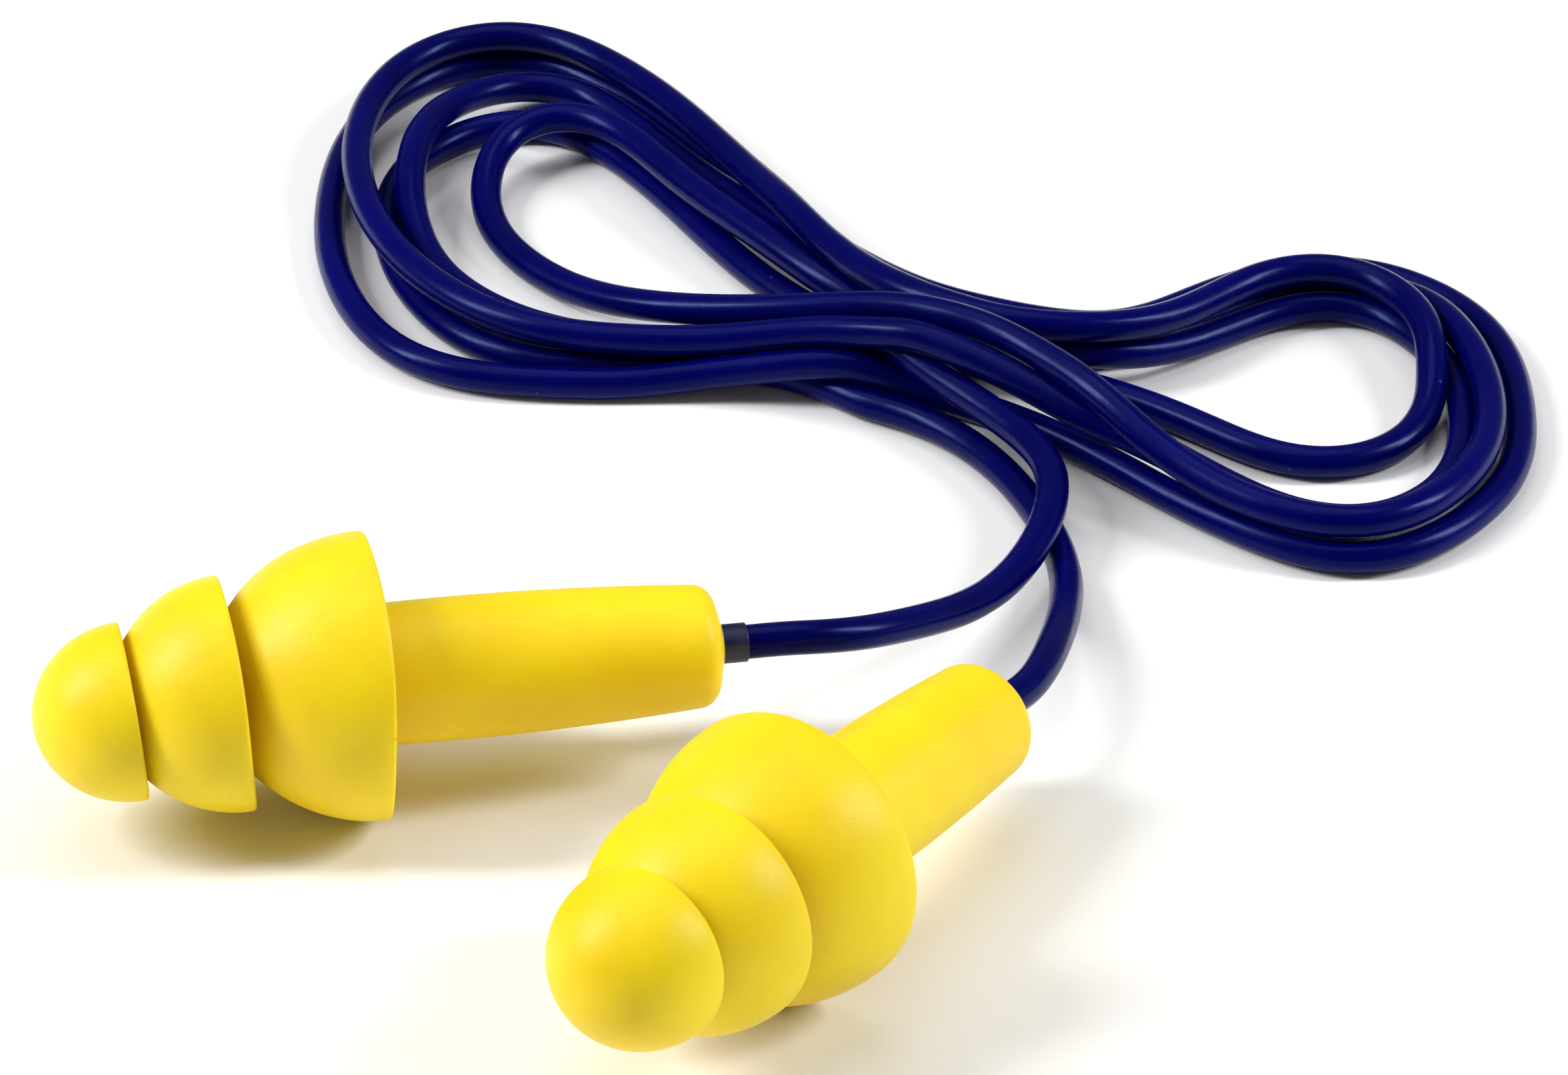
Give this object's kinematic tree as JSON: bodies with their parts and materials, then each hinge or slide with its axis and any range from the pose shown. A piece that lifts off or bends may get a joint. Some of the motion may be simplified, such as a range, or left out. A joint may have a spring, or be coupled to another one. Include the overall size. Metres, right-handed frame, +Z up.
{
  "type": "corded ear plugs",
  "caption": "Reusable flanged ear plugs on a thin cord: soft moulded plugs with hollow flanges and round stems, joined by a glossy cord laid in a loose figure-eight bundle.",
  "frame": {"origin": "on the surface the plugs lie on, under the centre of the box around both plugs (the cord left out)", "axes": "+Z up from the surface; +X from the left plug's tip towards its stem's side, the long way of the pair; +Y away from the plugs towards the cord bundle"},
  "size_m": [0.0671, 0.0865, 0.0122],
  "materials": {
    "plug_elastomer": "satin moulded elastomer",
    "cord_vinyl": "glossy vinyl",
    "sleeve_vinyl": "semi-gloss vinyl"
  },
  "bodies": {
    "cord_set": {"cord_bundle": "cord_vinyl", "left_lead": "cord_vinyl", "right_lead": "cord_vinyl", "left_sleeve": "sleeve_vinyl", "right_sleeve": "sleeve_vinyl", "left_cord_end": "cord_vinyl", "right_cord_end": "cord_vinyl"},
    "left_ear_plug": {"left_plug": "plug_elastomer"},
    "right_ear_plug": {"right_plug": "plug_elastomer"}
  },
  "joints": [
    {"name": "left_plug_pull", "type": "slide", "parent": "cord_set", "child": "left_ear_plug", "axis": [-0.9786, -0.2027, 0.0349], "range_m": [0, 0.007]},
    {"name": "right_plug_pull", "type": "slide", "parent": "cord_set", "child": "right_ear_plug", "axis": [-0.5622, -0.818, 0.1219], "range_m": [0, 0.007]}
  ]
}
